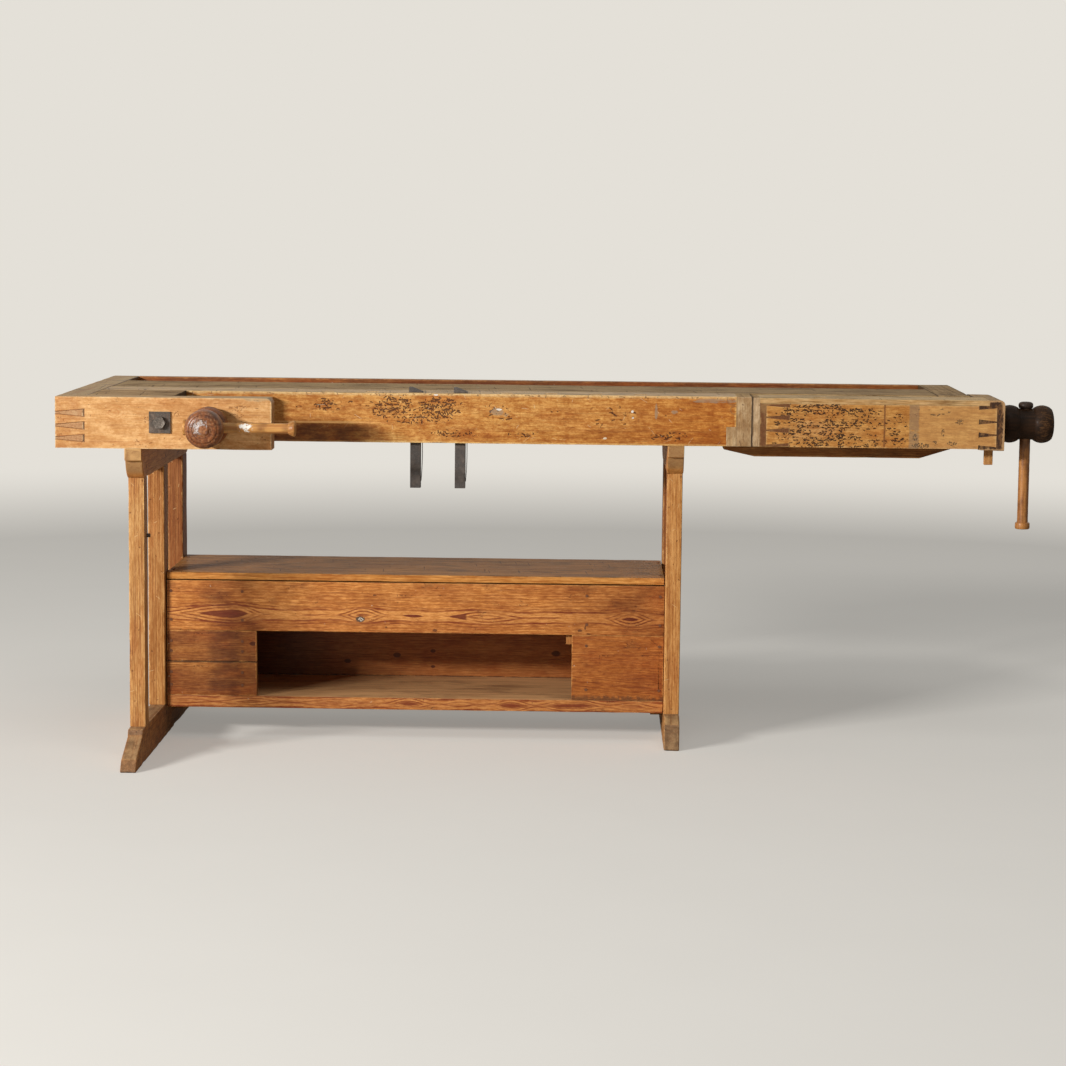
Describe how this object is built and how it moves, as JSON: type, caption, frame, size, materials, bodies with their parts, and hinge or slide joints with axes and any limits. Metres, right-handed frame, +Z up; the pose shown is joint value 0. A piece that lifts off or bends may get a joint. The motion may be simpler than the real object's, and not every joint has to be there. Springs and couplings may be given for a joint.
{
  "type": "woodworking bench",
  "caption": "Joiner's bench on two trestles, with a wooden-screw front vise, a sliding tail vise, iron bench dogs, a rear tool tray and an open-fronted tool box below.",
  "frame": {"origin": "middle of the whole bench's outline on the floor, vises closed", "axes": "+Z up, +X along the bench from the front vise's end to the tail vise, +Y from the working side to the back"},
  "size_m": [2.323, 0.918, 0.8625],
  "materials": {
    "honey_pine": "old oil, worn",
    "orange_pine": "old oil, aged",
    "beam_pine": "old oil, nicked and stained",
    "worn_top": "bare, worn grey-brown",
    "red_pine": "old oil, aged red-brown",
    "grey_hardwood": "bare end grain",
    "brown_hardwood": "aged dark brown",
    "polished_hardwood": "handled to a gloss",
    "dark_hardwood": "dark, worn",
    "bar_wood": "worn, rubbed",
    "iron": "forged, dark"
  },
  "bodies": {
    "bench": {"vise_arm": "honey_pine", "left_end_board": "honey_pine", "shoulder_block": "worn_top", "shoulder_bolt": "iron", "shoulder_washer": "iron", "front_beam": "beam_pine", "beam_end_facing": "grey_hardwood", "top_slab": "worn_top", "tray_board": "red_pine", "rear_rail": "red_pine", "right_end_cap": "honey_pine", "end_bolts": "iron", "square_nuts": "iron", "tail_nut_block": "brown_hardwood", "tail_guide_strip": "brown_hardwood", "lower_guide_rail": "brown_hardwood", "left_front_post": "orange_pine", "left_middle_post": "orange_pine", "left_rear_post": "red_pine", "left_foot": "grey_hardwood", "left_cap": "grey_hardwood", "right_front_post": "orange_pine", "right_rear_post": "orange_pine", "right_foot": "grey_hardwood", "right_cap": "grey_hardwood", "drawbore_pegs": "brown_hardwood", "top_pegs": "brown_hardwood", "post_stud": "iron", "box_floor": "orange_pine", "box_left_end": "orange_pine", "box_right_end": "orange_pine", "box_back": "red_pine", "box_front_top": "orange_pine", "box_left_lower_panel": "orange_pine", "box_left_upper_panel": "orange_pine", "box_right_panel": "orange_pine", "box_lid": "worn_top", "box_battens": "orange_pine", "box_bearers": "brown_hardwood", "bearer_bolts": "iron", "box_nails": "iron"},
    "front_jaw": {"front_jaw_board": "brown_hardwood", "front_garter_plate": "brown_hardwood", "garter_screws": "iron"},
    "front_screw": {"front_screw": "polished_hardwood"},
    "front_bar": {"front_bar": "bar_wood", "front_bar_knobs": "bar_wood"},
    "tail_vise": {"tail_jaw_facing": "grey_hardwood", "tail_front_board": "honey_pine", "tail_lid": "honey_pine", "tail_lower_runner": "brown_hardwood", "tail_jaw_block": "brown_hardwood", "tail_end_block": "honey_pine", "tail_garter_key": "grey_hardwood"},
    "tail_screw": {"tail_screw": "dark_hardwood"},
    "tail_bar": {"tail_bar": "bar_wood", "tail_bar_knobs": "bar_wood"},
    "left_dog": {"left_dog": "iron"},
    "right_dog": {"right_dog": "iron"}
  },
  "joints": [
    {"name": "front_jaw_slide", "type": "slide", "parent": "bench", "child": "front_jaw", "axis": [0, -1, 0], "range_m": [0, 0.145]},
    {"name": "front_screw_turn", "type": "hinge", "parent": "front_jaw", "child": "front_screw", "pos_m": [-0.8065, -0.331, 0.787], "axis": [0, -1, 0], "range_deg": [0, 4545]},
    {"name": "front_bar_slide", "type": "slide", "parent": "front_screw", "child": "front_bar", "axis": [-1, 0, 0], "range_m": [0, 0.148]},
    {"name": "tail_vise_slide", "type": "slide", "parent": "bench", "child": "tail_vise", "axis": [1, 0, 0], "range_m": [0, 0.16]},
    {"name": "tail_screw_turn", "type": "hinge", "parent": "tail_vise", "child": "tail_screw", "pos_m": [1.0335, 0.003, 0.787], "axis": [1, 0, 0], "range_deg": [0, 5010]},
    {"name": "tail_bar_slide", "type": "slide", "parent": "tail_screw", "child": "tail_bar", "axis": [0, 0, 1], "range_m": [0, 0.19]},
    {"name": "left_dog_slide", "type": "slide", "parent": "bench", "child": "left_dog", "axis": [0, 0, 1], "range_m": [0, 0.06]},
    {"name": "right_dog_slide", "type": "slide", "parent": "bench", "child": "right_dog", "axis": [0, 0, 1], "range_m": [0, 0.06]}
  ],
  "couplings": [
    {"joint": "front_screw_turn", "follows": "front_jaw_slide", "rad_per_m": 546.36},
    {"joint": "tail_screw_turn", "follows": "tail_vise_slide", "rad_per_m": 546.36}
  ]
}
